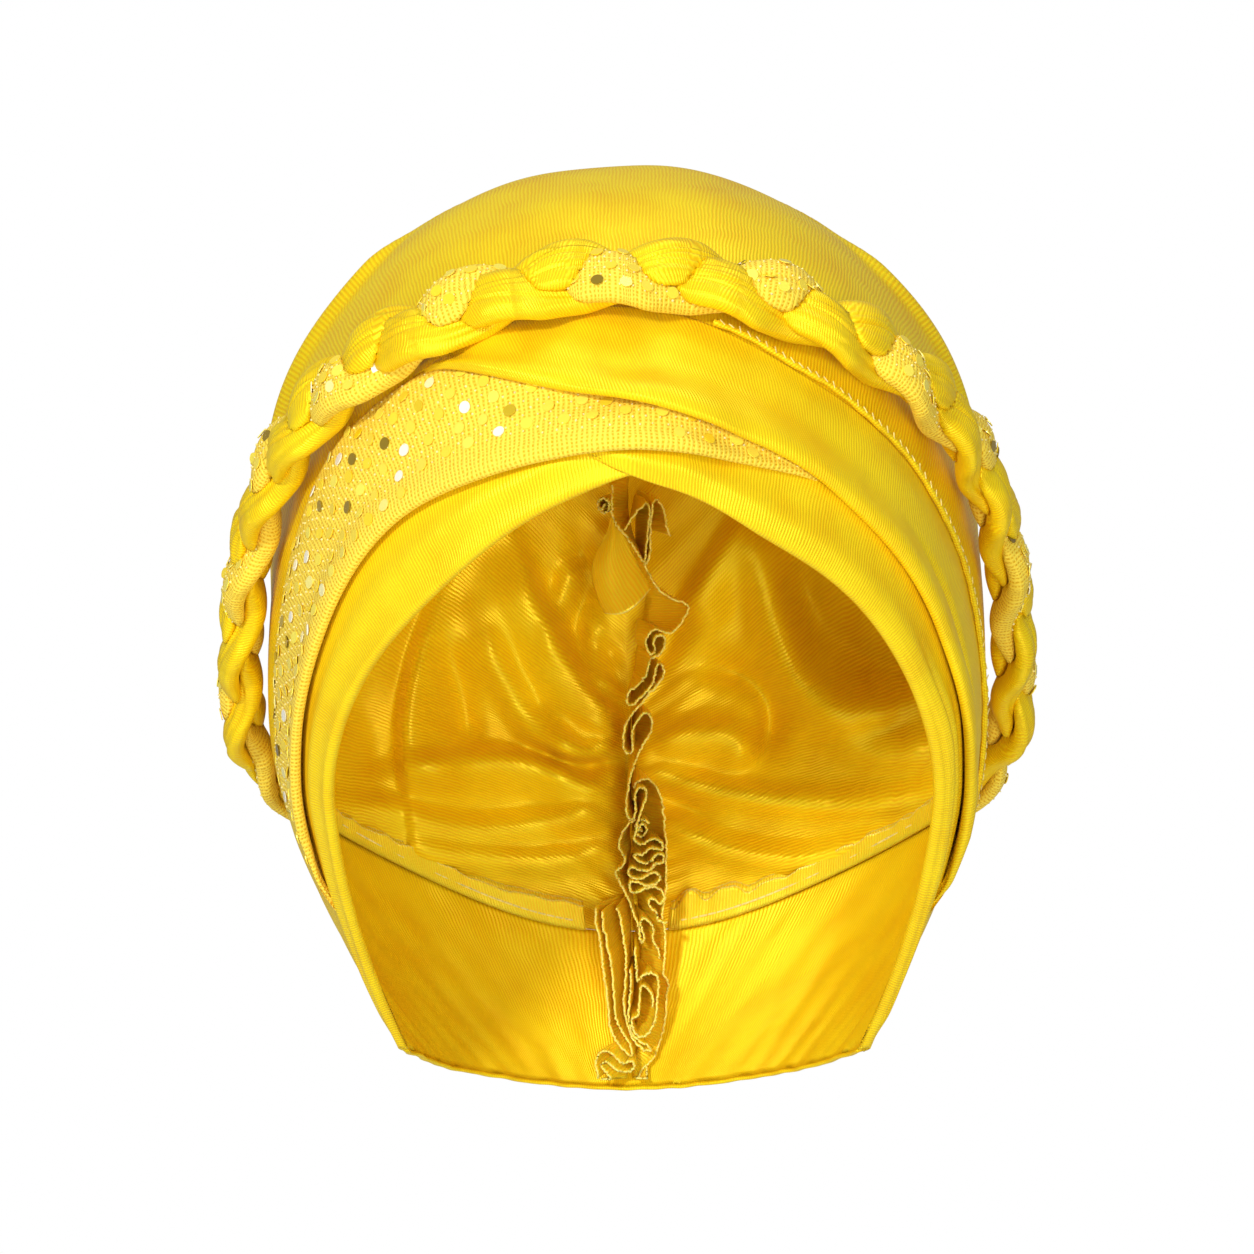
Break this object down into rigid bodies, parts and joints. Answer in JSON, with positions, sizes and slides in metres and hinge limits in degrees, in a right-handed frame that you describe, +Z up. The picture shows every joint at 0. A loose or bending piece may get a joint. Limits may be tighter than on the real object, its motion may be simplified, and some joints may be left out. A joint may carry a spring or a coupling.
{
  "type": "turban hat",
  "caption": "Slip-on turban with a crown gathered at the back, crossed satin and sequined bands over the forehead and a braid over the top, open at the face and below.",
  "frame": {"origin": "inside the top of the crown, where the hat sits on the head", "axes": "+Z up out of the crown, -Y out of the face opening, +X to the right as the face opening is looked into"},
  "size_m": [0.2302, 0.2166, 0.2598],
  "materials": {
    "satin": "golden-yellow ribbed milk-silk knit with a soft sheen",
    "satin_inside": "the same knit in the shade inside, with raw cut edges",
    "sequin_cloth": "yellow net knit over the satin, with round sequins in staggered rows"
  },
  "bodies": {
    "root": {"crown": "satin", "nape_band": "satin", "face_band_left": "satin", "face_band_right": "satin", "sequin_wrap": "sequin_cloth", "satin_wrap": "satin", "wrap_piping": "satin", "braid_strand_sequin": "sequin_cloth", "braid_strand_front": "satin", "braid_strand_rear": "satin", "nape_seam_left": "satin_inside", "nape_seam_right": "satin_inside", "back_seam_ruffle": "satin_inside"}
  },
  "joints": []
}
